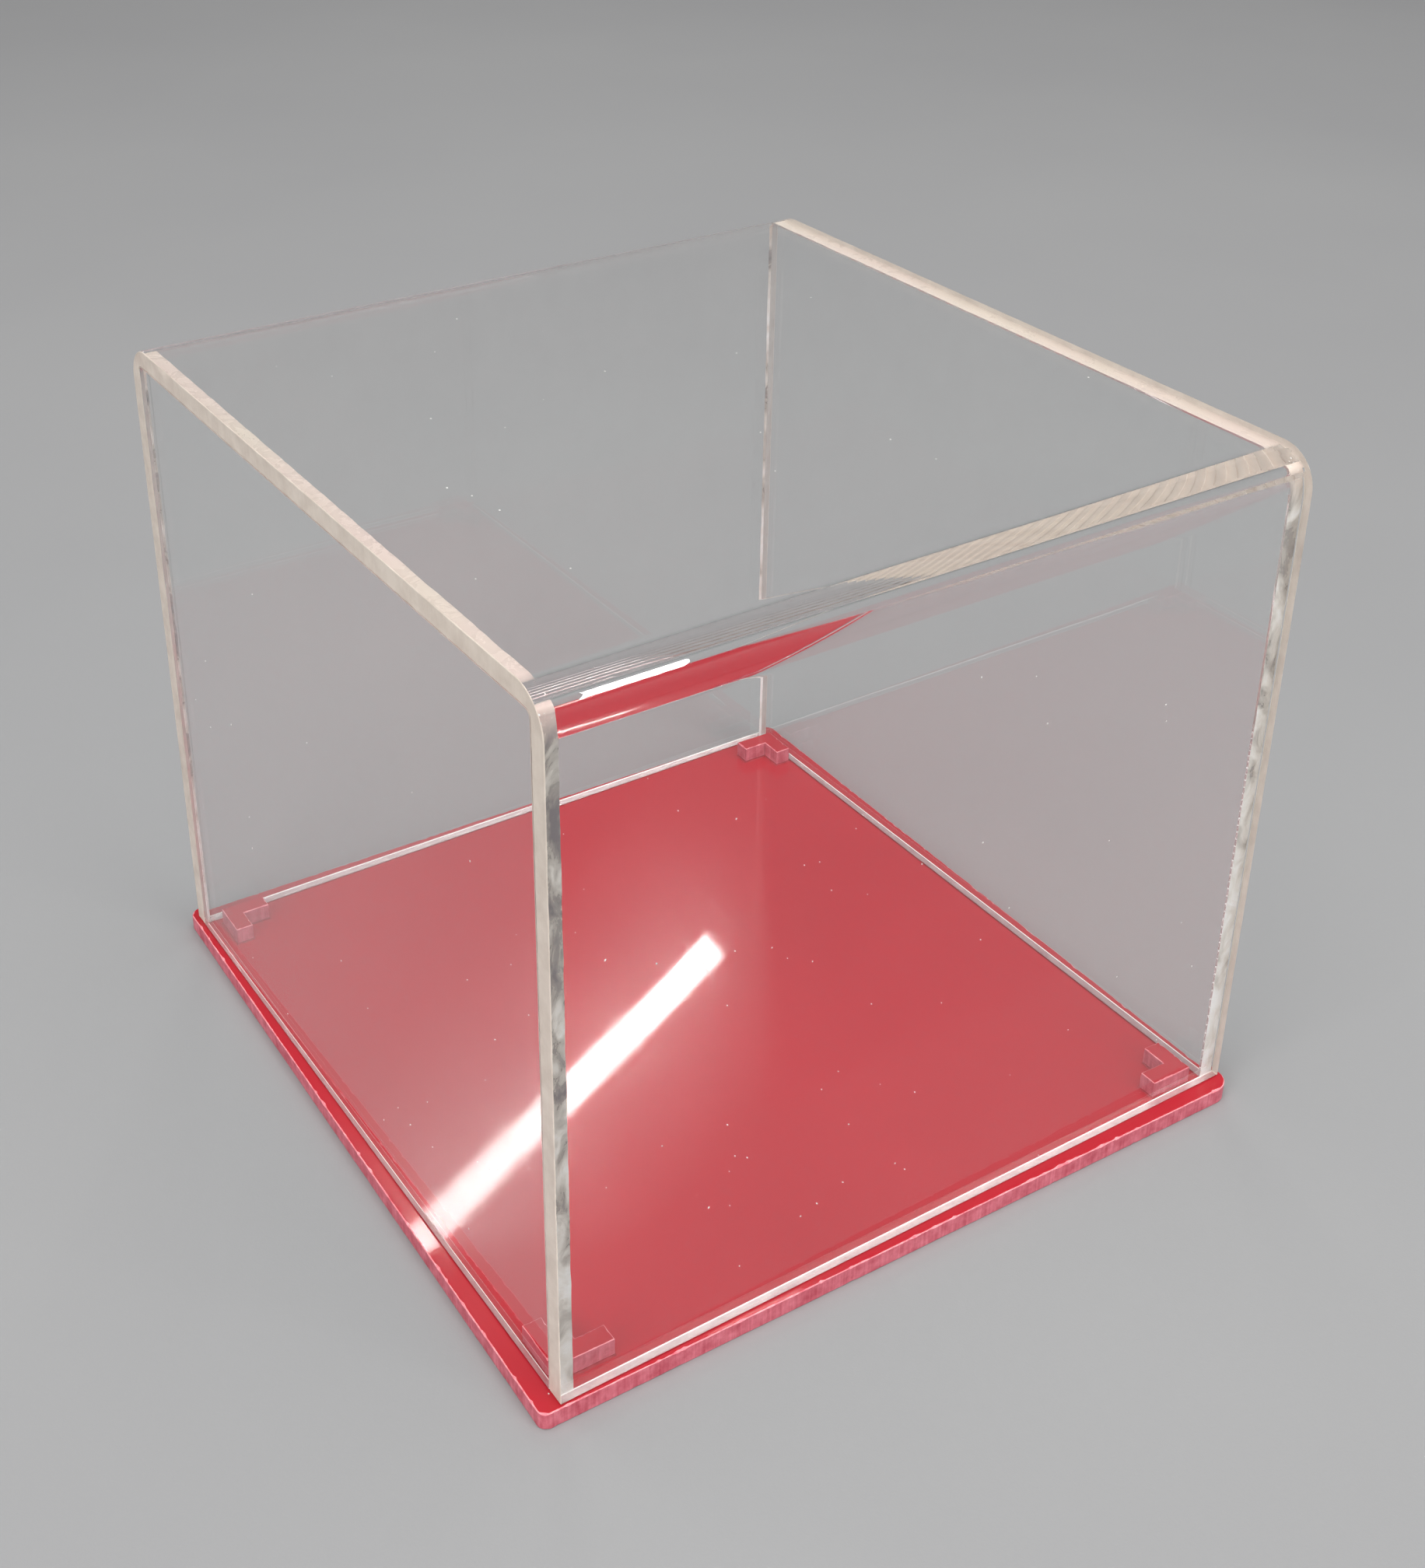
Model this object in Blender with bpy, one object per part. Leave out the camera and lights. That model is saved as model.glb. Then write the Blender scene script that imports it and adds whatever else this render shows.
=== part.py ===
"""Clear acrylic display cube: a five-sided lift-off cover on a red plate with four corner locators.

The cover is three sheets: one sheet bent over the front, top and back, and a flat panel let into each open
side. The locators are cemented square to the plate, and the cover sits turned in their play.
"""

import math

import bmesh
import bpy
from mathutils import Matrix

MM = 0.001

# Sheet stock
SHEET = 5.0 * MM
TOUCH_GAP = 0.3 * MM
ARRIS = 0.25 * MM

# Base plate
BASE_WIDTH = 217.0 * MM
BASE_DEPTH = 224.0 * MM
BASE_CORNER_RADIUS = 3.5 * MM
CORNER_STEPS = 6

# Cover, outside sizes
COVER_WIDTH = 210.0 * MM
COVER_DEPTH = 219.0 * MM
COVER_HEIGHT = 187.5 * MM
BEND_OUTER_RADIUS = 10.5 * MM
BEND_INNER_RADIUS = 2.0 * MM
BEND_STEPS = 18
COVER_TURN = math.radians(0.99)
COVER_REST_Z = SHEET + TOUCH_GAP

# Corner locators, one sawn L in each corner
LOCATOR_LEG_X = 13.2 * MM
LOCATOR_LEG_Y = 12.4 * MM
LOCATOR_LEG_WIDTH = 5.3 * MM
LOCATOR_OUTER_X = 98.0 * MM
LOCATOR_FRONT_Y = 102.4 * MM
LOCATOR_BACK_Y = 100.8 * MM
LOCATOR_Z = SHEET + TOUCH_GAP

COLOURS = {
    "clear_acrylic": ((0.93, 0.95, 0.95, 1.0), 0.03, 1.0),
    "red_acrylic": ((0.55, 0.03, 0.05, 1.0), 0.12, 0.0),
}


def clear_scene():
    for obj in list(bpy.data.objects):
        bpy.data.objects.remove(obj, do_unlink=True)


def material(name):
    """One Principled material, called after the node that wears it."""
    kind = "red_acrylic" if name.startswith(("base", "locator")) else "clear_acrylic"
    colour, roughness, transmission = COLOURS[kind]
    made = bpy.data.materials.new(name + "_" + kind)
    made.use_nodes = True
    shader = made.node_tree.nodes["Principled BSDF"]
    shader.inputs["Base Color"].default_value = colour
    shader.inputs["Roughness"].default_value = roughness
    shader.inputs["Transmission Weight"].default_value = transmission
    shader.inputs["IOR"].default_value = 1.49
    return made


def arc(centre, radius, start, end, steps):
    """Points of an arc from one angle to the other, both ends included."""
    angles = [start + (end - start) * i / steps for i in range(steps + 1)]
    return [(centre[0] + radius * math.cos(a), centre[1] + radius * math.sin(a)) for a in angles]


def sheet_piece(name, outline, thickness, frame, round_faces=False):
    """A flat outline, anticlockwise in its own plane, given a thickness along the plane's normal.

    The outline runs in the frame's x and y, and the thickness runs from zero along its z.
    """
    mesh = bpy.data.meshes.new(name)
    shape = bmesh.new()
    lower = [shape.verts.new((u, v, 0.0)) for u, v in outline]
    upper = [shape.verts.new((u, v, thickness)) for u, v in outline]
    shape.faces.new(list(reversed(lower)))
    shape.faces.new(upper)
    count = len(outline)
    for i in range(count):
        j = (i + 1) % count
        shape.faces.new((lower[i], lower[j], upper[j], upper[i]))
    bmesh.ops.recalc_face_normals(shape, faces=shape.faces)
    bmesh.ops.transform(shape, matrix=frame, verts=shape.verts)
    shape.to_mesh(mesh)
    shape.free()
    obj = bpy.data.objects.new(name, mesh)
    bpy.context.scene.collection.objects.link(obj)
    mesh.materials.append(material(name))
    soften_arrises(obj)
    if round_faces:
        mesh.shade_smooth()
        mesh.set_sharp_from_angle(angle=math.radians(30))
    return obj


def soften_arrises(obj):
    """The scraped edge that every sawn sheet has."""
    bevel = obj.modifiers.new("scraped_arris", "BEVEL")
    bevel.width = ARRIS
    bevel.segments = 1
    bevel.limit_method = "ANGLE"
    bevel.angle_limit = math.radians(50)


def frame_of(x_axis, y_axis, z_axis, origin):
    """The matrix whose columns are these axes, at this origin."""
    columns = Matrix((x_axis, y_axis, z_axis)).transposed()
    return Matrix.Translation(origin) @ columns.to_4x4()


def base_plate():
    x, y, r = BASE_WIDTH / 2, BASE_DEPTH / 2, BASE_CORNER_RADIUS
    outline = []
    for quarter, (sx, sy) in enumerate(((1, 1), (-1, 1), (-1, -1), (1, -1))):
        start = quarter * math.pi / 2
        outline += arc((sx * (x - r), sy * (y - r)), r, start, start + math.pi / 2, CORNER_STEPS)
    flat = frame_of((1, 0, 0), (0, 1, 0), (0, 0, 1), (0, 0, 0))
    sheet_piece("base_plate", outline, SHEET, flat, round_faces=True)


def corner_locators():
    """An L in each corner with its elbow outward, the long leg along X."""
    places = {
        "locator_front_left": (-1, -1, LOCATOR_FRONT_Y),
        "locator_front_right": (1, -1, LOCATOR_FRONT_Y),
        "locator_back_left": (-1, 1, LOCATOR_BACK_Y),
        "locator_back_right": (1, 1, LOCATOR_BACK_Y),
    }
    ell = [
        (0.0, 0.0),
        (LOCATOR_LEG_X, 0.0),
        (LOCATOR_LEG_X, LOCATOR_LEG_WIDTH),
        (LOCATOR_LEG_WIDTH, LOCATOR_LEG_WIDTH),
        (LOCATOR_LEG_WIDTH, LOCATOR_LEG_Y),
        (0.0, LOCATOR_LEG_Y),
    ]
    for name, (side, end, reach) in places.items():
        outline = [(-side * u, -end * v) for u, v in ell]
        if side * end < 0:
            outline.reverse()
        elbow = (side * LOCATOR_OUTER_X, end * reach, LOCATOR_Z)
        sheet_piece(name, outline, SHEET, frame_of((1, 0, 0), (0, 1, 0), (0, 0, 1), elbow))


def bent_profile():
    """The bent sheet's section: up the front wall, over the top and down the back, then back inside.

    The inner corner is tighter than the outer one, as the sheet thins where it is bent over a sharp former.
    """
    y, top = COVER_DEPTH / 2, COVER_HEIGHT
    outer, inner = BEND_OUTER_RADIUS, BEND_INNER_RADIUS
    outer_y, outer_z = y - outer, top - outer
    inner_y, inner_z = y - SHEET - inner, top - SHEET - inner
    quarter = math.pi / 2
    outside = [(y, 0.0)]
    outside += arc((outer_y, outer_z), outer, 0.0, quarter, BEND_STEPS)
    outside += arc((-outer_y, outer_z), outer, quarter, 2 * quarter, BEND_STEPS)
    outside.append((-y, 0.0))
    inside = [(-y + SHEET, 0.0)]
    inside += arc((-inner_y, inner_z), inner, 2 * quarter, quarter, BEND_STEPS)
    inside += arc((inner_y, inner_z), inner, quarter, 0.0, BEND_STEPS)
    inside.append((y - SHEET, 0.0))
    return outside + inside


def side_profile():
    """The side panel's outline, which fits inside the bent sheet with the joint's gap all round."""
    y = COVER_DEPTH / 2 - SHEET - TOUCH_GAP
    top = COVER_HEIGHT - SHEET - TOUCH_GAP
    r = BEND_INNER_RADIUS - TOUCH_GAP
    outline = [(y, 0.0)]
    outline += arc((y - r, top - r), r, 0.0, math.pi / 2, BEND_STEPS // 2)
    outline += arc((-(y - r), top - r), r, math.pi / 2, math.pi, BEND_STEPS // 2)
    outline.append((-y, 0.0))
    return outline


def cover():
    """The three cover sheets, drawn upright in the Y-Z plane and thickened along X."""
    half = COVER_WIDTH / 2
    starts = {
        "cover_bent_sheet": (bent_profile(), -half, COVER_WIDTH),
        "cover_side_panel_left": (side_profile(), -half, SHEET),
        "cover_side_panel_right": (side_profile(), half - SHEET, SHEET),
    }
    for name, (outline, start, thickness) in starts.items():
        upright = frame_of((0, 1, 0), (0, 0, 1), (1, 0, 0), (start, 0, 0))
        sheet = sheet_piece(name, outline, thickness, upright, round_faces=True)
        sheet.location.z = COVER_REST_Z
        sheet.rotation_euler.z = COVER_TURN


clear_scene()
base_plate()
corner_locators()
cover()
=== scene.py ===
import math
import random

import bmesh
import bpy
from mathutils import Matrix, Vector, noise

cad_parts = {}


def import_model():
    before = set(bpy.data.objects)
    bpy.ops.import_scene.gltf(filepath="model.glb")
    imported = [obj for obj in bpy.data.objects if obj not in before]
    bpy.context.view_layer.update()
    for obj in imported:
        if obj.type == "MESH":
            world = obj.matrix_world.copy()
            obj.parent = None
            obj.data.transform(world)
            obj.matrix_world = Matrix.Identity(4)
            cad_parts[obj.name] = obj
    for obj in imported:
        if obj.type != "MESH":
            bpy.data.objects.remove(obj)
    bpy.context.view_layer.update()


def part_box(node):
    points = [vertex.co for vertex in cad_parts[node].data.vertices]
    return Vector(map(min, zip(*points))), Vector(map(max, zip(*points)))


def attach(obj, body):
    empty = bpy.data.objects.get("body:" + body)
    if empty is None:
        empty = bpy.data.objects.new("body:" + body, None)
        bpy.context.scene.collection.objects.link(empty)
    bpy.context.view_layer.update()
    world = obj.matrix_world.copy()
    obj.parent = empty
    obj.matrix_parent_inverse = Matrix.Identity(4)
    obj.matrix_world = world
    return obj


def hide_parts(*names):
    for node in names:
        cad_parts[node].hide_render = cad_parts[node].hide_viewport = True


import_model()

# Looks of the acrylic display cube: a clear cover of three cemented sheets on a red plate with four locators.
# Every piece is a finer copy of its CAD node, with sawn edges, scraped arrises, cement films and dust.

MM = 0.001
ACRYLIC_IOR = 1.49
CEMENT_IOR = 1.45
# A ramp reads from 0 to 1, so heights on the cover are given to it in fifths of a metre.
FIFTHS_IN_A_METRE = 5.0

# Sizes shared with the CAD part. It leaves GAP at a joint, and the pieces here leave JOINT for a film.
SHEET = 5.0 * MM
GAP = 0.3 * MM
JOINT = 0.1 * MM
BASE_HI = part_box("base_plate")[1]
COVER_WIDTH = 210.0 * MM
COVER_DEPTH = 219.0 * MM
COVER_HEIGHT = 187.5 * MM
BEND_RADIUS = 10.5 * MM
INNER_RADIUS = 2.0 * MM
COVER_TURN = math.radians(0.99)
COVER_Z = SHEET + GAP
LEG_X = 13.2 * MM
LEG_Y = 12.4 * MM
LEG_WIDTH = 5.3 * MM

# Visual detail
# Radii of the plate's corners, anticlockwise from the back right
BASE_CORNERS = (3.6 * MM, 3.4 * MM, 2.6 * MM, 5.4 * MM)
PERIMETER_STEP = 0.9 * MM
BEND_STEPS = 32
BEND_LEAD = 0.4 * MM
WALL_STEP = 4.0 * MM
SEAM_STEP = 1.1 * MM
COLUMNS = 24
SHARP_ANGLE = math.radians(28)
BUBBLES_A_SIDE = 150
SPECKS_ON_FRONT = 26
SPECKS_ON_LEFT = 18
SPECKS_ON_TOP = 24
SPECKS_ON_PLATE = 46
RISE = Matrix.Translation((0, 0, COVER_Z)) @ Matrix.Rotation(COVER_TURN, 4, "Z")

X_AXIS, Y_AXIS, Z_AXIS = Vector((1, 0, 0)), Vector((0, 1, 0)), Vector((0, 0, 1))

rng = random.Random(41)


def wobble(x, y, z, scale):
    """Smooth noise from -1 to 1 at a point in metres, with features about scale across."""
    return noise.noise(Vector((x, y, z)) / scale)


# ---------------------------------------------------------------- materials


def new_material(name):
    made = bpy.data.materials.new(name)
    made.use_nodes = True
    tree = made.node_tree
    return made, tree, tree.nodes["Principled BSDF"]


def show(tree, shader):
    """Makes a shader the surface of its material."""
    tree.links.new(shader.outputs[0], tree.nodes["Material Output"].inputs["Surface"])


def add(tree, kind, **values):
    node = tree.nodes.new(kind)
    for key, value in values.items():
        setattr(node, key, value)
    return node


def coords(tree, stretch=(1, 1, 1)):
    """Object coordinates in metres, stretched."""
    place = add(tree, "ShaderNodeTexCoord")
    mapping = add(tree, "ShaderNodeMapping")
    mapping.inputs["Scale"].default_value = stretch
    tree.links.new(place.outputs["Object"], mapping.inputs["Vector"])
    return mapping.outputs["Vector"]


def noise_of(tree, scale, detail=3.0, stretch=(1, 1, 1), rough=0.5, distort=0.0):
    node = add(tree, "ShaderNodeTexNoise")
    node.inputs["Scale"].default_value = scale
    node.inputs["Detail"].default_value = detail
    node.inputs["Roughness"].default_value = rough
    node.inputs["Distortion"].default_value = distort
    tree.links.new(coords(tree, stretch), node.inputs["Vector"])
    return node.outputs["Fac"]


def ramp(tree, source, stops):
    """Stops are (position, value or colour)."""
    node = add(tree, "ShaderNodeValToRGB")
    elements = node.color_ramp.elements
    while len(elements) < len(stops):
        elements.new(0.5)
    for element, (position, colour) in zip(elements, stops):
        element.position = position
        if isinstance(colour, (int, float)):
            colour = (colour, colour, colour)
        element.color = (*colour, 1.0)
    tree.links.new(source, node.inputs["Fac"])
    return node.outputs["Color"]


def paint(tree, shader, source, stops):
    """Colours the shader by a ramp over a pattern."""
    tree.links.new(ramp(tree, source, stops), shader.inputs["Base Color"])


def dull(tree, shader, source, stops):
    """Sets the shader's roughness by a ramp over a pattern."""
    tree.links.new(ramp(tree, source, stops), shader.inputs["Roughness"])


def maths(tree, operation, a, b):
    node = add(tree, "ShaderNodeMath", operation=operation)
    for socket, value in zip(node.inputs, (a, b)):
        if isinstance(value, (int, float)):
            socket.default_value = value
        else:
            tree.links.new(value, socket)
    return node.outputs[0]


def bump(tree, shader, height, strength, distance):
    node = add(tree, "ShaderNodeBump")
    node.inputs["Strength"].default_value = strength
    node.inputs["Distance"].default_value = distance
    tree.links.new(height, node.inputs["Height"])
    tree.links.new(node.outputs["Normal"], shader.inputs["Normal"])


def scratches(tree, scale, stretch, turn):
    """Fine straight scratches, as thin lines of a stretched cell pattern. 1 on a scratch."""
    place = add(tree, "ShaderNodeTexCoord")
    mapping = add(tree, "ShaderNodeMapping")
    mapping.inputs["Scale"].default_value = stretch
    mapping.inputs["Rotation"].default_value = turn
    tree.links.new(place.outputs["Object"], mapping.inputs["Vector"])
    cells = add(tree, "ShaderNodeTexVoronoi", feature="DISTANCE_TO_EDGE")
    cells.inputs["Scale"].default_value = scale
    tree.links.new(mapping.outputs["Vector"], cells.inputs["Vector"])
    return ramp(tree, cells.outputs["Distance"], ((0.0, 1.0), (0.012, 0.0)))


def clear_material():
    """Polished faces of the clear sheet. Lamps and diffuse light pass straight through them."""
    made, tree, shader = new_material("clear_acrylic_face")
    shader.inputs["Roughness"].default_value = 0.0
    shader.inputs["Specular IOR Level"].default_value = 0.27
    shader.inputs["Transmission Weight"].default_value = 1.0
    shader.inputs["IOR"].default_value = ACRYLIC_IOR
    tint = noise_of(tree, 14.0, 2.0)
    paint(tree, shader, tint, ((0.3, (0.975, 0.982, 0.98)), (0.7, (0.99, 0.992, 0.988))))
    waves = noise_of(tree, 9.0, 2.0)
    bump(tree, shader, waves, 0.12, 0.0006)
    path = add(tree, "ShaderNodeLightPath")
    through = add(tree, "ShaderNodeBsdfTransparent")
    through.inputs["Color"].default_value = (0.95, 0.955, 0.955, 1.0)
    inner = add(tree, "ShaderNodeMixShader")
    tree.links.new(path.outputs["Is Diffuse Ray"], inner.inputs[0])
    tree.links.new(shader.outputs[0], inner.inputs[1])
    tree.links.new(through.outputs[0], inner.inputs[2])
    outer = add(tree, "ShaderNodeMixShader")
    tree.links.new(path.outputs["Is Shadow Ray"], outer.inputs[0])
    tree.links.new(inner.outputs[0], outer.inputs[1])
    tree.links.new(through.outputs[0], outer.inputs[2])
    show(tree, outer)
    return made


def sawn_clear_material(name, low, high, transmission, grain):
    """Milky sawn or scraped edge of the clear sheet. grain is the saw marks' stretch."""
    made, tree, shader = new_material(name)
    patches = noise_of(tree, 160.0, 4.0, rough=0.6)
    paint(tree, shader, patches, ((0.35, low), (0.65, high)))
    marks = noise_of(tree, 900.0, 3.0, grain, 0.6)
    dull(tree, shader, marks, ((0.3, 0.32), (0.75, 0.62)))
    shader.inputs["Transmission Weight"].default_value = transmission
    shader.inputs["IOR"].default_value = ACRYLIC_IOR
    bump(tree, shader, marks, 0.5, 0.0002)
    return made


def cement_material():
    """Cement film in the clear joints: even and creamy under the top sheet with patches of painted pink glow
    from the red plate, clouded in the uprights.
    """
    made, tree, shader = new_material("clear_cement_film")
    place = add(tree, "ShaderNodeTexCoord")
    split = add(tree, "ShaderNodeSeparateXYZ")
    tree.links.new(place.outputs["Object"], split.inputs[0])
    height = maths(tree, "MULTIPLY", split.outputs["Z"], FIFTHS_IN_A_METRE)
    top = ramp(tree, height, ((0.9, 0.0), (0.925, 1.0)))
    sink = ramp(tree, height, ((0.1, 0.17), (0.62, 0.0)))
    right = ramp(tree, split.outputs["X"], ((0.0, 0.0), (0.01, 0.1)))
    blobs = noise_of(tree, 150.0, 5.0, (1, 1, 0.6), 0.62, 0.8)
    cloud = maths(tree, "ADD", maths(tree, "ADD", blobs, maths(tree, "SUBTRACT", sink, 0.085)), right)
    dark, mid, pale = (0.38, 0.34, 0.36), (0.56, 0.51, 0.46), (0.8, 0.75, 0.69)
    upright = ramp(tree, cloud, ((0.27, dark), (0.43, mid), (0.54, pale), (0.68, (0.95, 0.93, 0.91))))
    # Under the top sheet the cream varies in tone and drifts in patches toward pink; the pink is painted
    # light from the red plate.
    cream_tone_and_painted_pink = noise_of(tree, 18.0, 3.0)
    level = ramp(tree, cream_tone_and_painted_pink, ((0.35, (0.72, 0.62, 0.52)), (0.65, (0.76, 0.6, 0.54))))
    mix = add(tree, "ShaderNodeMix", data_type="RGBA")
    tree.links.new(top, mix.inputs[0])
    tree.links.new(upright, mix.inputs[6])
    tree.links.new(level, mix.inputs[7])
    tree.links.new(mix.outputs[2], shader.inputs["Base Color"])
    open_part = ramp(tree, cloud, ((0.3, 0.6), (0.55, 0.12)))
    share = maths(tree, "MULTIPLY", open_part, maths(tree, "SUBTRACT", 1.0, top))
    tree.links.new(share, shader.inputs["Transmission Weight"])
    dull(tree, shader, cloud, ((0.36, 0.2), (0.6, 0.5)))
    shader.inputs["IOR"].default_value = CEMENT_IOR
    fine = noise_of(tree, 420.0, 3.0)
    bump(tree, shader, fine, 0.5, 0.0002)
    return made


def bubble_material():
    made, tree, shader = new_material("clear_cement_bubbles")
    shade = noise_of(tree, 800.0, 2.0)
    paint(tree, shader, shade, ((0.3, (0.8, 0.78, 0.76)), (0.7, (1.0, 0.99, 0.97))))
    shader.inputs["Roughness"].default_value = 0.25
    shader.inputs["Transmission Weight"].default_value = 0.2
    return made


def mouth_shade_material():
    """Painted shade: a dark colour in the unfilled mouth of a joint, where the gap lies in shadow."""
    made, tree, shader = new_material("clear_joint_painted_shade")
    tone = noise_of(tree, 120.0, 4.0, (1, 1, 0.4))
    paint(tree, shader, tone, ((0.4, (0.06, 0.052, 0.046)), (0.62, (0.26, 0.23, 0.2))))
    shader.inputs["Roughness"].default_value = 0.7
    bump(tree, shader, tone, 0.4, 0.0002)
    return made


def red_face_material():
    """Polished faces of the red sheet, with fine scratches, wipe marks and a little haze."""
    made, tree, shader = new_material("red_acrylic_face")
    tone = noise_of(tree, 11.0, 3.0)
    stops = ((0.3, (0.41, 0.01, 0.02)), (0.7, (0.45, 0.013, 0.024)))
    paint(tree, shader, tone, stops)
    wipe = noise_of(tree, 38.0, 4.0, (1.0, 0.25, 1.0), 0.6)
    lines = scratches(tree, 26.0, (1.0, 0.16, 1.0), (0, 0, 0.5))
    haze = ramp(tree, wipe, ((0.35, 0.02), (0.7, 0.05)))
    rough = maths(tree, "ADD", haze, maths(tree, "MULTIPLY", lines, 0.06))
    tree.links.new(rough, shader.inputs["Roughness"])
    shader.inputs["IOR"].default_value = ACRYLIC_IOR
    shader.inputs["Specular IOR Level"].default_value = 0.3
    shader.inputs["Coat Weight"].default_value = 0.6
    shader.inputs["Coat Roughness"].default_value = 0.16
    shader.inputs["Coat IOR"].default_value = 1.4
    waves = maths(tree, "SUBTRACT", noise_of(tree, 7.0, 2.0), maths(tree, "MULTIPLY", lines, 0.02))
    bump(tree, shader, waves, 0.15, 0.0006)
    return made


def red_edge_material(name, low, high, grain):
    """Sawn side or scraped arris of the red sheet, frosted to pink. grain is the saw marks' stretch."""
    made, tree, shader = new_material(name)
    patches = noise_of(tree, 240.0, 4.0, rough=0.65)
    marks = noise_of(tree, 1000.0, 3.0, grain, 0.6)
    both = maths(tree, "ADD", maths(tree, "MULTIPLY", patches, 0.55), maths(tree, "MULTIPLY", marks, 0.45))
    paint(tree, shader, both, ((0.36, low), (0.62, high)))
    dull(tree, shader, marks, ((0.3, 0.4), (0.7, 0.66)))
    shader.inputs["IOR"].default_value = ACRYLIC_IOR
    bump(tree, shader, both, 0.6, 0.0003)
    return made


def red_cement_material():
    made, tree, shader = new_material("red_cement_film")
    tone = noise_of(tree, 300.0, 3.0)
    paint(tree, shader, tone, ((0.35, (0.3, 0.012, 0.02)), (0.65, (0.44, 0.03, 0.045))))
    shader.inputs["Roughness"].default_value = 0.12
    bump(tree, shader, tone, 0.4, 0.0002)
    return made


def dust_material():
    made, tree, shader = new_material("dust_specks")
    tone = noise_of(tree, 500.0, 2.0)
    paint(tree, shader, tone, ((0.3, (0.6, 0.56, 0.54)), (0.7, (0.86, 0.84, 0.82))))
    shader.inputs["Roughness"].default_value = 0.8
    return made


SAWN = (1, 1, 0.05)
SCRAPED_BY_HAND = (1, 1, 1)
CLEAR = clear_material()
CUT = sawn_clear_material("clear_acrylic_sawn", (0.66, 0.57, 0.49), (0.78, 0.69, 0.6), 0.2, SAWN)
SCRAPED = sawn_clear_material(
    "clear_acrylic_arris", (0.9, 0.86, 0.83), (0.98, 0.97, 0.95), 0.2, SCRAPED_BY_HAND
)
# The clear foot's pink colour is painted: it stands for light from the red plate it rests on.
FOOT_PAINTED_RED_GLOW = sawn_clear_material("clear_acrylic_foot_painted_red_glow", (0.58, 0.2, 0.21), (0.8, 0.42, 0.42), 0.75, SCRAPED_BY_HAND)
GLUED = sawn_clear_material("clear_acrylic_joint", (0.66, 0.58, 0.52), (0.82, 0.75, 0.68), 0.55, SAWN)
CEMENT = cement_material()
BUBBLE = bubble_material()
MOUTH_SHADE = mouth_shade_material()
RED = red_face_material()
RED_SAWN = red_edge_material("red_acrylic_sawn", (0.46, 0.055, 0.085), (0.72, 0.2, 0.25), SAWN)
RED_ARRIS = red_edge_material("red_acrylic_arris", (0.66, 0.12, 0.16), (0.9, 0.4, 0.42), SCRAPED_BY_HAND)
RED_CEMENT = red_cement_material()
DUST = dust_material()


# ---------------------------------------------------------------- mesh helpers


def finish_piece(name, shape, materials, body, nodes=(), matrix=None):
    """Turns a bmesh into a riding piece with outward normals."""
    bmesh.ops.recalc_face_normals(shape, faces=shape.faces)
    if matrix is not None:
        bmesh.ops.transform(shape, matrix=matrix, verts=shape.verts)
    mesh = bpy.data.meshes.new(name)
    shape.to_mesh(mesh)
    shape.free()
    for made in materials:
        mesh.materials.append(made)
    mesh.shade_smooth()
    mesh.set_sharp_from_angle(angle=SHARP_ANGLE)
    obj = bpy.data.objects.new(name, mesh)
    bpy.context.scene.collection.objects.link(obj)
    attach(obj, body)
    if nodes:
        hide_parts(*nodes)
    return obj


def bridge(shape, lower, upper, material):
    """Quads between two closed rings of vertices."""
    count = len(lower)
    for i in range(count):
        j = (i + 1) % count
        face = shape.faces.new((lower[i], lower[j], upper[j], upper[i]))
        face.material_index = material(i) if callable(material) else material


def value_at(rule, point):
    """A rule is a plain number or a function of the point."""
    return rule(point) if callable(rule) else rule


def stack(shape, points, levels, kinds):
    """A closed solid of rings, one for each level, joined by bands that wear the materials in kinds.

    A level is (inset, height), the rules for how far the outline moves in and how high it lies.
    """
    rings = []
    for inset, height in levels:
        made = []
        for point, normal in points:
            p = point - normal * value_at(inset, point)
            made.append(shape.verts.new((p.x, p.y, value_at(height, point))))
        rings.append(made)
    shape.faces.new(list(reversed(rings[0])))
    shape.faces.new(rings[-1])
    for k, kind in enumerate(kinds):
        bridge(shape, rings[k], rings[k + 1], kind)


def outline_of(corners, step):
    """Points round a closed anticlockwise outline, each with the way it moves when the outline grows by 1.

    Each corner is (x, y, radius). Points near a sharp corner lean away from it, so that rings never cross.
    """
    count = len(corners)
    turns = []
    for i, (x, y, r) in enumerate(corners):
        here = Vector((x, y))
        before = (here - Vector(corners[i - 1][:2])).normalized()
        after = (Vector(corners[(i + 1) % count][:2]) - here).normalized()
        half = math.atan2(before.cross(after), before.dot(after)) / 2
        turns.append((here, before, after, r, half))
    points = []
    for i, (here, before, after, r, half) in enumerate(turns):
        normal_in = Vector((before.y, -before.x))
        normal_out = Vector((after.y, -after.x))
        if r > 0:
            centre = here - (normal_in + normal_out).normalized() * (r / math.cos(half))
            steps = max(5, int(abs(2 * half) * r / step * 2))
            first = math.atan2(normal_in.y, normal_in.x)
            for k in range(steps + 1):
                a = first + 2 * half * k / steps
                normal = Vector((math.cos(a), math.sin(a)))
                points.append((centre + normal * r, normal))
        else:
            points.append((here, normal_out - after * math.tan(half)))
        start = points[-1][0]
        following, _, _, next_r, next_half = turns[(i + 1) % count]
        end = following - after * (next_r * math.tan(next_half))
        pieces = max(1, round((end - start).length / step))
        lean_start = 0.0 if r > 0 else math.tan(half)
        lean_end = 0.0 if next_r > 0 else math.tan(next_half)
        for k in range(1, pieces):
            t = k / pieces
            lean = lean_end * t - lean_start * (1 - t)
            points.append((start.lerp(end, t), normal_out + after * lean))
    return points


def chip_list(points, count, widest, deepest):
    """Chips along an edge: (place, half width, depth)."""
    made = []
    for _ in range(count):
        place = points[rng.randrange(len(points))][0].copy()
        made.append((place, rng.uniform(0.4, 1.0) * widest, rng.uniform(0.35, 1.0) * deepest))
    return made


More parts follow.
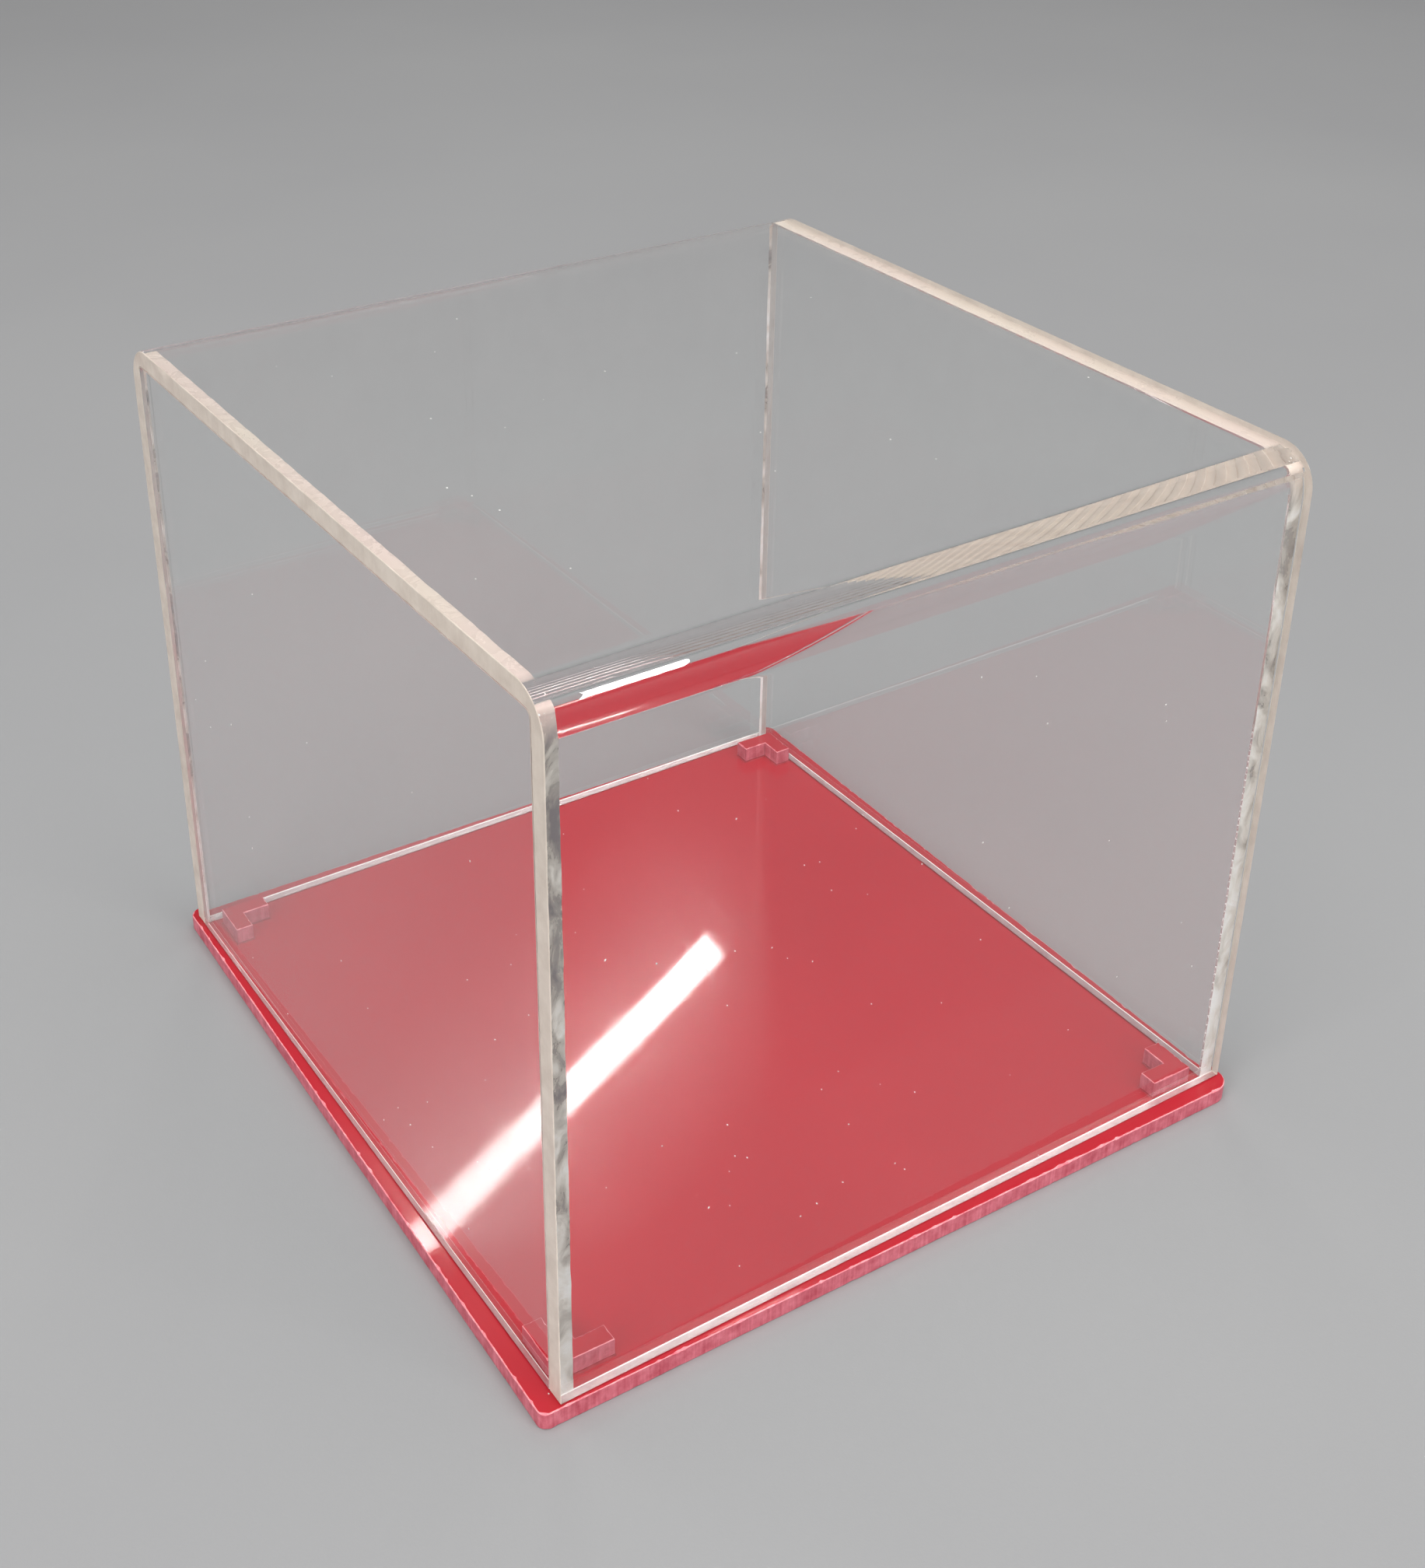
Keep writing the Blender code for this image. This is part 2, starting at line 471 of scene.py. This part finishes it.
def chipped(point, chips):
    depth = 0.0
    for place, width, deep in chips:
        away = (point - place).length
        if away < width:
            depth = max(depth, deep * (1 - (away / width) ** 2))
    return depth


# ---------------------------------------------------------------- red plate and locators

# Material slots from underside to top: 0 polished face, 1 sawn side, 2 scraped arris
RED_BANDS = (0, 2, 1, 1, 1, 2, 0)


def base_plate():
    """The red plate: polished faces, sawn sides with wavy faces and a chipped, scraped arris."""
    x, y = BASE_HI.x, BASE_HI.y
    radii = BASE_CORNERS
    corners = [(x, y, radii[0]), (-x, y, radii[1]), (-x, -y, radii[2]), (x, -y, radii[3])]
    points = outline_of(corners, PERIMETER_STEP)
    top_chips = chip_list(points, 90, 1.5 * MM, 0.42 * MM)
    low_chips = chip_list(points, 50, 1.6 * MM, 0.35 * MM)

    def saw(point, level):
        broad = 0.06 * (1 + wobble(point.x, point.y, level, 22 * MM))
        fine = 0.05 * (1 + wobble(point.x, point.y, level * 3, 1.6 * MM))
        return (broad + fine) * MM

    def arris(point, level, chips):
        width = 0.26 + 0.1 * wobble(point.x, point.y, level, 5 * MM)
        width += 0.07 * wobble(point.x, point.y, level, 1.3 * MM)
        return max(0.1, width) * MM + chipped(point, chips)

    levels = (
        (1.8 * MM, 0.0),
        (lambda p: saw(p, 0) + arris(p, 9.0, low_chips), 0.0),
        (lambda p: saw(p, 0), lambda p: 0.8 * arris(p, 9.0, low_chips)),
        (lambda p: saw(p, 0.0012), 0.3 * SHEET),
        (lambda p: saw(p, 0.003), 0.66 * SHEET),
        (lambda p: saw(p, 0.0045), lambda p: SHEET - 0.75 * arris(p, 3.0, top_chips)),
        (lambda p: saw(p, 0.0045) + arris(p, 3.0, top_chips), SHEET),
        (1.8 * MM, SHEET),
    )
    shape = bmesh.new()
    stack(shape, points, levels, RED_BANDS)
    finish_piece("red_base_plate", shape, (RED, RED_SAWN, RED_ARRIS), "base", ("base_plate",))


def locator(name):
    """One sawn L, its elbow outward, with a cement film and a squeezed-out fillet under it."""
    lo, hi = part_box(name)
    side = 1 if lo.x + hi.x > 0 else -1
    end = 1 if lo.y + hi.y > 0 else -1
    elbow = Vector((hi.x if side > 0 else lo.x, hi.y if end > 0 else lo.y))
    ell = [
        (0.0, 0.0),
        (LEG_X, 0.0),
        (LEG_X, LEG_WIDTH),
        (LEG_WIDTH, LEG_WIDTH),
        (LEG_WIDTH, LEG_Y),
        (0.0, LEG_Y),
    ]
    corners = [(elbow.x - side * u, elbow.y - end * v, 0.0) for u, v in ell]
    if side * end < 0:
        corners.reverse()
    points = outline_of(corners, 0.55 * MM)
    chips = chip_list(points, 9, 0.8 * MM, 0.3 * MM)
    shift = 7.0 * side + 3.0 * end

    def saw(point, level):
        broad = 0.09 * (1 + wobble(point.x + shift, point.y, level, 5 * MM))
        fine = 0.04 * (1 + wobble(point.x, point.y + shift, level * 3, 1.1 * MM))
        return (broad + fine) * MM

    def arris(point, level):
        width = 0.2 + 0.08 * wobble(point.x, point.y, level + shift, 2.2 * MM)
        return max(0.08, width) * MM + chipped(point, chips)

    low, high = lo.z, hi.z
    levels = (
        (0.9 * MM, low),
        (lambda p: saw(p, 0) + 0.2 * MM, low),
        (lambda p: saw(p, 0), low + 0.15 * MM),
        (lambda p: saw(p, 0.002), low + 0.35 * SHEET),
        (lambda p: saw(p, 0.003), low + 0.68 * SHEET),
        (lambda p: saw(p, 0.0045), lambda p: high - 0.8 * arris(p, 4.0)),
        (lambda p: saw(p, 0.0045) + arris(p, 4.0), high),
        (0.9 * MM, high),
    )
    shape = bmesh.new()
    stack(shape, points, levels, RED_BANDS)
    finish_piece("red_" + name, shape, (RED, RED_SAWN, RED_ARRIS), "base", (name,))

    def spread(point):
        return (0.32 + 0.3 * wobble(point.x + shift, point.y, 0.5, 2.4 * MM)) * MM

    levels = (
        (0.8 * MM, SHEET + 0.02 * MM),
        (lambda p: -spread(p), SHEET + 0.02 * MM),
        (lambda p: -0.6 * spread(p), SHEET + 0.07 * MM),
        (lambda p: -0.12 * spread(p), SHEET + 0.26 * MM),
        (0.8 * MM, SHEET + 0.27 * MM),
    )
    film = bmesh.new()
    stack(film, points, levels, (0, 0, 0, 0))
    finish_piece("red_cement_" + name, film, (RED_CEMENT,), "base")


# ---------------------------------------------------------------- clear cover


def stations(inner=False, step=WALL_STEP):
    """Stations along the cover's section, from the back foot over the top to the front foot.

    They lie on the bent sheet's outer surface or on its inner one. Each is (y, z, normal y, normal z), and
    the two lists match one to one. The inner corner is the tighter one.
    """
    y, top, r = COVER_DEPTH / 2, COVER_HEIGHT, BEND_RADIUS
    if inner:
        y, top, r = y - SHEET, top - SHEET, INNER_RADIUS
    wall = COVER_HEIGHT - BEND_RADIUS - BEND_LEAD
    span = COVER_DEPTH / 2 - BEND_RADIUS - BEND_LEAD
    count = round(wall / step)
    heights = [0.0, 0.3 * MM] + [wall * k / count for k in range(1, count + 1)]
    made = [(y, z, 1.0, 0.0) for z in heights]
    for k in range(BEND_STEPS + 1):
        a = math.pi / 2 * k / BEND_STEPS
        made.append((y - r + r * math.cos(a), top - r + r * math.sin(a), math.cos(a), math.sin(a)))
    count = round(2 * span / step)
    made += [(span - 2 * span * k / count, top, 0.0, 1.0) for k in range(count + 1)]
    for k in range(BEND_STEPS + 1):
        a = math.pi / 2 + math.pi / 2 * k / BEND_STEPS
        made.append((-(y - r) + r * math.cos(a), top - r + r * math.sin(a), math.cos(a), math.sin(a)))
    return made + [(-y, z, -1.0, 0.0) for z in reversed(heights)]


def bent_section(outer, inner, foot):
    """One closed section across the bent sheet: outer face, right edge, inner face, left edge.

    outer and inner are matching stations. At a foot every side is drawn in, which scrapes the arris there.
    """
    oy, oz, n, m = outer
    iy, iz = inner[:2]
    half = COVER_WIDTH / 2
    bend = (4 * n * n * m * m) ** 0.5
    sink = 0.25 * MM if foot else 0.0

    def width(side, level):
        """The scraped arris's width."""
        broad = 0.08 * wobble(oy, oz, side * 5 + level, 6 * MM)
        fine = 0.05 * wobble(oy, oz, side * 9 + level, 1.7 * MM)
        return max(0.08, 0.2 + broad + fine) * MM

    def wave(x, level):
        """How far the surface sinks in the bend, where the strip heater softened it."""
        broad = wobble(x, oy * 0.3 + level, oz * 0.3, 30 * MM)
        return bend * (1 + broad) * 0.05 * MM

    def row(y, z, inward, arris_level, wave_level):
        left = -half + width(-1, arris_level) + sink
        right = half - width(1, arris_level) - sink
        made = []
        for c in range(COLUMNS + 1):
            x = left + (right - left) * c / COLUMNS
            d = inward * (wave(x, wave_level) + sink)
            made.append(Vector((x, y - n * d, z - m * d)))
        return made

    def edge(side):
        made = []
        for share, level in ((width(side, 1) / SHEET, 0), (0.5, 1), (1 - width(side, 2) / SHEET, 2)):
            y = oy + (iy - oy) * share
            z = oz + (iz - oz) * share
            saw = 0.04 * (1 + wobble(y, z, level + side, 3 * MM)) * MM
            made.append(Vector((side * (half - saw - sink), y, z)))
        return made

    outer_row = row(oy, oz, 1, 0, 0.0)
    inner_row = row(iy, iz, -1, 3, 2.0)
    return outer_row + edge(1) + list(reversed(inner_row)) + list(reversed(edge(-1)))


def bent_sheet():
    """The sheet bent over front, top and back, with sawn, scraped cut edges and slightly wavy bends."""
    pairs = list(zip(stations(), stations(inner=True)))
    last = len(pairs) - 1
    shape = bmesh.new()
    loops = []
    for index, (outer, inner) in enumerate(pairs):
        section = bent_section(outer, inner, index in (0, last))
        loops.append([shape.verts.new(v) for v in section])
    # Material slots round the section: 0 polished face, 1 sawn edge, and 2 scraped or 3 sawn at a foot,
    # painted pink as the red plate's light
    kinds = [0] * COLUMNS + [1, 1, 1, 1] + [0] * COLUMNS + [1, 1, 1, 1]
    for k in range(last):
        foot_row = k in (0, last - 1)
        bridge(shape, loops[k], loops[k + 1], lambda i: 2 if foot_row and kinds[i] == 0 else kinds[i])
    n = COLUMNS + 1
    for loop in (loops[0], loops[-1]):
        outer_row, right_edge = loop[:n], loop[n:n + 3]
        inner_row, left_edge = list(reversed(loop[n + 3:2 * n + 3])), list(reversed(loop[2 * n + 3:]))
        for c in range(COLUMNS):
            face = shape.faces.new((outer_row[c], outer_row[c + 1], inner_row[c + 1], inner_row[c]))
            face.material_index = 3
        right_end = [outer_row[-1]] + right_edge + [inner_row[-1]]
        left_end = [outer_row[0]] + left_edge + [inner_row[0]]
        for end in (right_end, left_end):
            face = shape.faces.new(end)
            face.material_index = 3
    materials = (CLEAR, CUT, SCRAPED, FOOT_PAINTED_RED_GLOW)
    node = "cover_bent_sheet"
    finish_piece("clear_bent_sheet", shape, materials, "cover", (node,), RISE)


def side_panel(side):
    """The flat panel let into one side, with clouded glued edges and a sawn foot painted pink as light from
    the red plate.
    """
    name = "right" if side > 0 else "left"
    y = COVER_DEPTH / 2 - SHEET - JOINT
    top = COVER_HEIGHT - SHEET - JOINT
    r = INNER_RADIUS - JOINT
    corners = [(-y, 0.0, 0.0), (y, 0.0, 0.0), (y, top, r), (-y, top, r)]
    points = outline_of(corners, 3.0 * MM)

    def free(point):
        """Along the panel's foot, which is not cemented."""
        return point.y < 0.02 * MM

    def mouth(point):
        """One upright joint a side has an unfilled mouth, painted dark as its shadow."""
        return -side * point.x > y - 1.0 * MM

    def mean_arris(point, inward):
        """The arris's mean width in millimetres."""
        if free(point):
            return 0.24
        if inward:
            return 0.34
        return 0.6 if mouth(point) else 0.07

    def arris(point, level):
        mean = mean_arris(point, (level == 4) == (side < 0))
        return max(0.05, mean + 0.04 * wobble(point.x, point.y, level + side, 4 * MM)) * MM

    def saw(point, level):
        return 0.03 * (1 + wobble(point.x, point.y, level + side * 3, 4 * MM)) * MM

    # Material slots: 0 polished face, 1 sawn foot painted pink as the red plate's light, 2 glued edge, 3
    # scraped arris, 4 painted shade in the joint's mouth
    def edge(i):
        return 1 if free(points[i][0]) and free(points[(i + 1) % len(points)][0]) else 2

    def scraped(inward):
        def kind(i):
            if edge(i) == 1:
                return 3
            if inward:
                return 0
            # Slot 4 is painted shade on the mouth's outer arris.
            return 4 if mouth(points[i][0]) else 2
        return kind

    levels = (
        (lambda p: saw(p, 0) + arris(p, 0), 0.0),
        (lambda p: saw(p, 0), lambda p: arris(p, 0)),
        (lambda p: saw(p, 2), 0.5 * SHEET),
        (lambda p: saw(p, 4), lambda p: SHEET - arris(p, 4)),
        (lambda p: saw(p, 4) + arris(p, 4), SHEET),
    )
    shape = bmesh.new()
    stack(shape, points, levels, (scraped(side > 0), edge, edge, scraped(side < 0)))
    start = COVER_WIDTH / 2 - SHEET if side > 0 else -COVER_WIDTH / 2
    upright = Matrix(((0, 0, 1, start), (1, 0, 0, 0), (0, 1, 0, 0), (0, 0, 0, 1)))
    materials = (CLEAR, FOOT_PAINTED_RED_GLOW, GLUED, SCRAPED, MOUTH_SHADE)
    node = "cover_side_panel_" + name
    place = RISE @ upright
    finish_piece("clear_side_panel_" + name, shape, materials, "cover", (node,), place)


def seam(side):
    """The cement film in one side's joint, with an uneven inner edge."""
    name = "right" if side > 0 else "left"
    half = COVER_WIDTH / 2
    line = [s for s in stations(inner=True, step=SEAM_STEP) if s[1] > 0.2 * MM]
    shape = bmesh.new()
    loops = []
    for y, z, n, m in line:
        lump = 0.5 + 0.5 * wobble(y, z, side * 4.0, 9 * MM)
        fine = 0.5 + 0.5 * wobble(y, z, side * 8.0, 3.5 * MM)
        open_mouth = 0.5 if -side * n > 0.9 else 0.0
        start = (0.08 + 0.12 * fine + open_mouth) * MM
        squeezed_out = 0.85 if n > 0.9 else 0.0
        finish = SHEET + (squeezed_out - 0.12 - 0.5 * lump * fine) * MM
        section = [
            (start, 0.015 * MM),
            (start + 0.03 * MM, 0.085 * MM),
            (0.5 * SHEET, 0.09 * MM),
            (finish, 0.085 * MM),
            (finish + 0.08 * MM, 0.05 * MM),
            (finish, 0.015 * MM),
            (0.5 * SHEET, 0.01 * MM),
        ]
        loop = [shape.verts.new((side * (half - u), y - n * v, z - m * v)) for u, v in section]
        loops.append(loop)
    for k in range(len(loops) - 1):
        bridge(shape, loops[k], loops[k + 1], 0)
    shape.faces.new(loops[0])
    shape.faces.new(loops[-1])
    finish_piece("clear_cement_" + name, shape, (CEMENT,), "cover", (), RISE)


def blob(shape, centre, along, up, out, sizes, seed):
    """A small closed lump at centre, with half sizes along three axes."""
    for v in bmesh.ops.create_icosphere(shape, subdivisions=1, radius=1.0)["verts"]:
        k = 1 + 0.25 * noise.noise(v.co * 1.7 + Vector((seed, seed * 0.7, 0)))
        c = v.co * k
        v.co = centre + along * (c.x * sizes[0]) + up * (c.y * sizes[1]) + out * (c.z * sizes[2])


def bubbles(side):
    """Trapped bubbles, most of them in the lower half of the upright joints."""
    name = "right" if side > 0 else "left"
    half = COVER_WIDTH / 2
    line = [s for s in stations(inner=True) if s[1] > 2 * MM]
    shape = bmesh.new()
    for seed in range(BUBBLES_A_SIDE):
        y, z, n, m = line[rng.randrange(len(line))]
        if abs(n) > 0.9 and rng.random() > 1.25 - z / COVER_HEIGHT:
            continue
        if abs(n) < 0.9 and rng.random() > 0.3 * m:
            continue
        u = rng.uniform(0.8, 4.6) * MM
        size = rng.uniform(0.08, 0.24) * MM
        tangent = Vector((0, -m, n))
        slip = rng.uniform(-2, 2) * MM
        centre = Vector((side * (half - u), y - n * 0.05 * MM, z - m * 0.05 * MM)) + tangent * slip
        sizes = (size, size * 1.3, 0.035 * MM)
        blob(shape, centre, Vector((side, 0, 0)), tangent, Vector((0, n, m)), sizes, seed)
    finish_piece("clear_cement_bubbles_" + name, shape, (BUBBLE,), "cover", (), RISE)


def dust():
    """Specks lying on the cover's faces and on the plate. Places are in millimetres on each face."""
    half_x, half_y = COVER_WIDTH / 2, COVER_DEPTH / 2
    shape = bmesh.new()
    front = []
    for _ in range(SPECKS_ON_FRONT):
        front.append((rng.uniform(-95, 95), rng.uniform(12, 165), rng.uniform(0.1, 0.26)))
    for x, z, s in front:
        at = Vector((x * MM, -half_y - 0.02 * MM, z * MM))
        turn = rng.uniform(0, 3)
        a, b = Vector((math.cos(turn), 0, math.sin(turn))), Vector((-math.sin(turn), 0, math.cos(turn)))
        blob(shape, at, a, b, -Y_AXIS, (s * MM, 1.5 * s * MM, 0.1 * MM), x)
    for seed in range(SPECKS_ON_LEFT):
        at = Vector((-half_x - 0.02 * MM, rng.uniform(-95, 95) * MM, rng.uniform(12, 165) * MM))
        s = rng.uniform(0.1, 0.22) * MM
        blob(shape, at, Y_AXIS, Z_AXIS, -X_AXIS, (s, 1.4 * s, 0.1 * MM), seed)
    for seed in range(SPECKS_ON_TOP):
        at = Vector((rng.uniform(-95, 95) * MM, rng.uniform(-95, 95) * MM, COVER_HEIGHT - 0.06 * MM))
        s = rng.uniform(0.1, 0.25) * MM
        blob(shape, at, X_AXIS, Y_AXIS, Z_AXIS, (s, 1.4 * s, 0.05 * MM), seed)
    finish_piece("dust_on_cover", shape, (DUST,), "cover", (), RISE)
    shape = bmesh.new()
    for seed in range(SPECKS_ON_PLATE):
        x, y = rng.uniform(-104, 104) * MM, rng.uniform(-107, 107) * MM
        s = rng.uniform(0.09, 0.24) * MM
        at = Vector((x, y, SHEET + 0.03 * MM))
        blob(shape, at, X_AXIS, Y_AXIS, Z_AXIS, (s, 1.5 * s, 0.09 * MM), seed)
    finish_piece("dust_on_plate", shape, (DUST,), "base")


base_plate()
for node in ("locator_front_left", "locator_front_right", "locator_back_left", "locator_back_right"):
    locator(node)
bent_sheet()
for which in (-1, 1):
    side_panel(which)
    seam(which)
    bubbles(which)
dust()


# ---------------------------------------------------------------- floor, light and camera

GUIDED_BOUNCES = 110
FLOOR_HALF = 9.0
FLOOR_DROP = 0.02 * MM
# Name, place, target, size and power of each large lamp
FILLS = (
    ("overhead", (-0.15, -0.35, 2.3), (0, 0, 0), (2.3, 2.3), 62.0),
    ("left_fill", (-2.3, -0.9, 1.35), (0, 0, 0.08), (1.6, 1.4), 38.0),
    ("right_fill", (0.7, -2.5, 1.25), (0, 0, 0.08), (1.7, 1.3), 34.0),
)
STRIP_START = Vector((0.40, 1.37, 1.60))
STRIP_FINISH = Vector((1.18, 1.75, 1.60))
STRIP_WIDTH = 0.042
STRIP_RADIANCE = 32.0
PANEL_MIDDLE = Vector((0.626, -0.975, 1.19))
PANEL_AIM = Vector((-0.08, -0.105, 0.19))
PANEL_SIZE = (0.109, 0.3)
PANEL_RADIANCE = 45.0
CARD_X = (-0.35, 0.65)
CARD_Y = 0.113
CARD_Z = (0.184, 0.9)
# Fitted to the cover's corners in the photograph
CAMERA_PLACE = (-0.26292, -0.40966, 0.39492)
CAMERA_TURN = ((-31.486, "Z"), (62.268, "X"), (0.057, "Z"))
CAMERA_LENS = 48.265
CAMERA_SHIFT = (0.04183, -0.12722)


def floor():
    mesh = bpy.data.meshes.new("floor")
    shape = bmesh.new()
    bmesh.ops.create_grid(shape, x_segments=8, y_segments=8, size=FLOOR_HALF)
    bmesh.ops.translate(shape, verts=shape.verts, vec=(0, 0, -FLOOR_DROP))
    shape.to_mesh(mesh)
    shape.free()
    made, tree, shader = new_material("pale_floor")
    tone = noise_of(tree, 3.0, 4.0)
    paint(tree, shader, tone, ((0.3, (0.288, 0.288, 0.29)), (0.7, (0.304, 0.304, 0.304))))
    shader.inputs["Roughness"].default_value = 0.6
    shader.inputs["Specular IOR Level"].default_value = 0.25
    fine = noise_of(tree, 1400.0, 2.0)
    bump(tree, shader, fine, 0.12, 0.0003)
    mesh.materials.append(made)
    obj = bpy.data.objects.new("floor", mesh)
    bpy.context.scene.collection.objects.link(obj)


def area_light(name, place, target, size, power, colour=(1, 1, 1)):
    data = bpy.data.lights.new(name, "AREA")
    data.shape = "RECTANGLE"
    data.size, data.size_y = size
    data.energy = power
    data.color = colour
    obj = bpy.data.objects.new(name, data)
    obj.location = place
    obj.rotation_euler = (Vector(target) - Vector(place)).to_track_quat("-Z", "Y").to_euler()
    bpy.context.scene.collection.objects.link(obj)
    return obj


def fill_lights():
    """The large lamps, which would show as hard-edged shapes in the clear sheet."""
    for fill in FILLS:
        lamp = area_light(*fill)
        lamp.visible_glossy = False
        lamp.visible_transmission = False


def lamp_along(name, middle, aim, along, size, radiance, colour):
    """A lamp at middle with its first side along a direction, turned about that side to face aim."""
    x_axis = along.normalized()
    y_axis = (middle - aim).cross(x_axis).normalized()
    z_axis = x_axis.cross(y_axis).normalized()
    lamp = area_light(name, middle, aim, size, radiance * 4.0 * size[0] * size[1], colour)
    lamp.matrix_world = Matrix.Translation(middle) @ Matrix((x_axis, y_axis, z_axis)).transposed().to_4x4()
    return lamp


def tube_light():
    """The strip lamp whose reflection lies across the plate."""
    middle, along = (STRIP_START + STRIP_FINISH) / 2, STRIP_FINISH - STRIP_START
    size = (along.length, STRIP_WIDTH)
    lamp_along("strip", middle, Vector((0, 0, 0)), along, size, STRIP_RADIANCE, (1.0, 0.985, 0.955))


def panel_light():
    """The small lamp behind the viewer that shows as a short white bar in the front bend and nowhere else."""
    colour = (1.0, 0.98, 0.97)
    lamp = lamp_along("bend_panel", PANEL_MIDDLE, PANEL_AIM, X_AXIS, PANEL_SIZE, PANEL_RADIANCE, colour)
    lamp.visible_transmission = False
    lit = bpy.data.collections.new("lit_by_bend_panel")
    lit.objects.link(bpy.data.objects["clear_bent_sheet"])
    lamp.light_linking.receiver_collection = lit


def flag():
    """A grey card behind the cover's back edge that keeps the strip lamp out of the two bends.

    Only reflected light meets it, so the view through the cover stays free in every pose.
    """
    mesh = bpy.data.meshes.new("flag")
    (left, right), (low, high), y = CARD_X, CARD_Z, CARD_Y
    corners = ((left, y, low), (right, y, low), (right, y, high), (left, y, high))
    mesh.from_pydata(corners, [], [(0, 1, 2, 3)])
    made, tree, shader = new_material("flag_cloth")
    shade = noise_of(tree, 200.0, 2.0)
    paint(tree, shader, shade, ((0.3, 0.33), (0.7, 0.36)))
    shader.inputs["Roughness"].default_value = 0.9
    shader.inputs["Specular IOR Level"].default_value = 0.0
    path = add(tree, "ShaderNodeLightPath")
    gone = add(tree, "ShaderNodeBsdfTransparent")
    mix = add(tree, "ShaderNodeMixShader")
    tree.links.new(maths(tree, "MINIMUM", path.outputs["Glossy Depth"], 1.0), mix.inputs[0])
    tree.links.new(gone.outputs[0], mix.inputs[1])
    tree.links.new(shader.outputs[0], mix.inputs[2])
    show(tree, mix)
    mesh.materials.append(made)
    obj = bpy.data.objects.new("flag", mesh)
    bpy.context.scene.collection.objects.link(obj)
    obj.visible_camera = False
    obj.visible_diffuse = False
    obj.visible_shadow = False


def world():
    made = bpy.data.worlds.new("studio")
    bpy.context.scene.world = made
    made.use_nodes = True
    tree = made.node_tree
    place = add(tree, "ShaderNodeTexCoord")
    split = add(tree, "ShaderNodeSeparateXYZ")
    tree.links.new(place.outputs["Generated"], split.inputs[0])
    stops = ((0.0, (0.36, 0.36, 0.365)), (0.25, (0.26, 0.26, 0.265)), (0.9, (0.22, 0.22, 0.23)))
    colour = ramp(tree, split.outputs["Z"], stops)
    background = tree.nodes["Background"]
    tree.links.new(colour, background.inputs["Color"])
    background.inputs["Strength"].default_value = 1.0


def camera():
    data = bpy.data.cameras.new("camera")
    data.lens = CAMERA_LENS
    data.sensor_width = 36.0
    data.sensor_fit = "AUTO"
    data.shift_x, data.shift_y = CAMERA_SHIFT
    data.clip_start = 0.01
    data.clip_end = 60.0
    obj = bpy.data.objects.new("camera", data)
    turn = Matrix.Identity(4)
    for degrees, axis in CAMERA_TURN:
        turn = turn @ Matrix.Rotation(math.radians(degrees), 4, axis)
    obj.location = CAMERA_PLACE
    obj.rotation_euler = turn.to_euler()
    bpy.context.scene.collection.objects.link(obj)
    bpy.context.scene.camera = obj


floor()
fill_lights()
tube_light()
panel_light()
flag()
world()
camera()

# Light that is guided along inside a sheet needs many bounces.
scene = bpy.context.scene
scene.view_settings.view_transform = "Standard"
scene.cycles.max_bounces = GUIDED_BOUNCES
scene.cycles.transmission_bounces = GUIDED_BOUNCES
scene.cycles.glossy_bounces = GUIDED_BOUNCES
scene.cycles.transparent_max_bounces = 40
scene.cycles.diffuse_bounces = 4
scene.cycles.sample_clamp_indirect = 40.0
scene.cycles.use_denoising = True

bpy.context.view_layer.update()
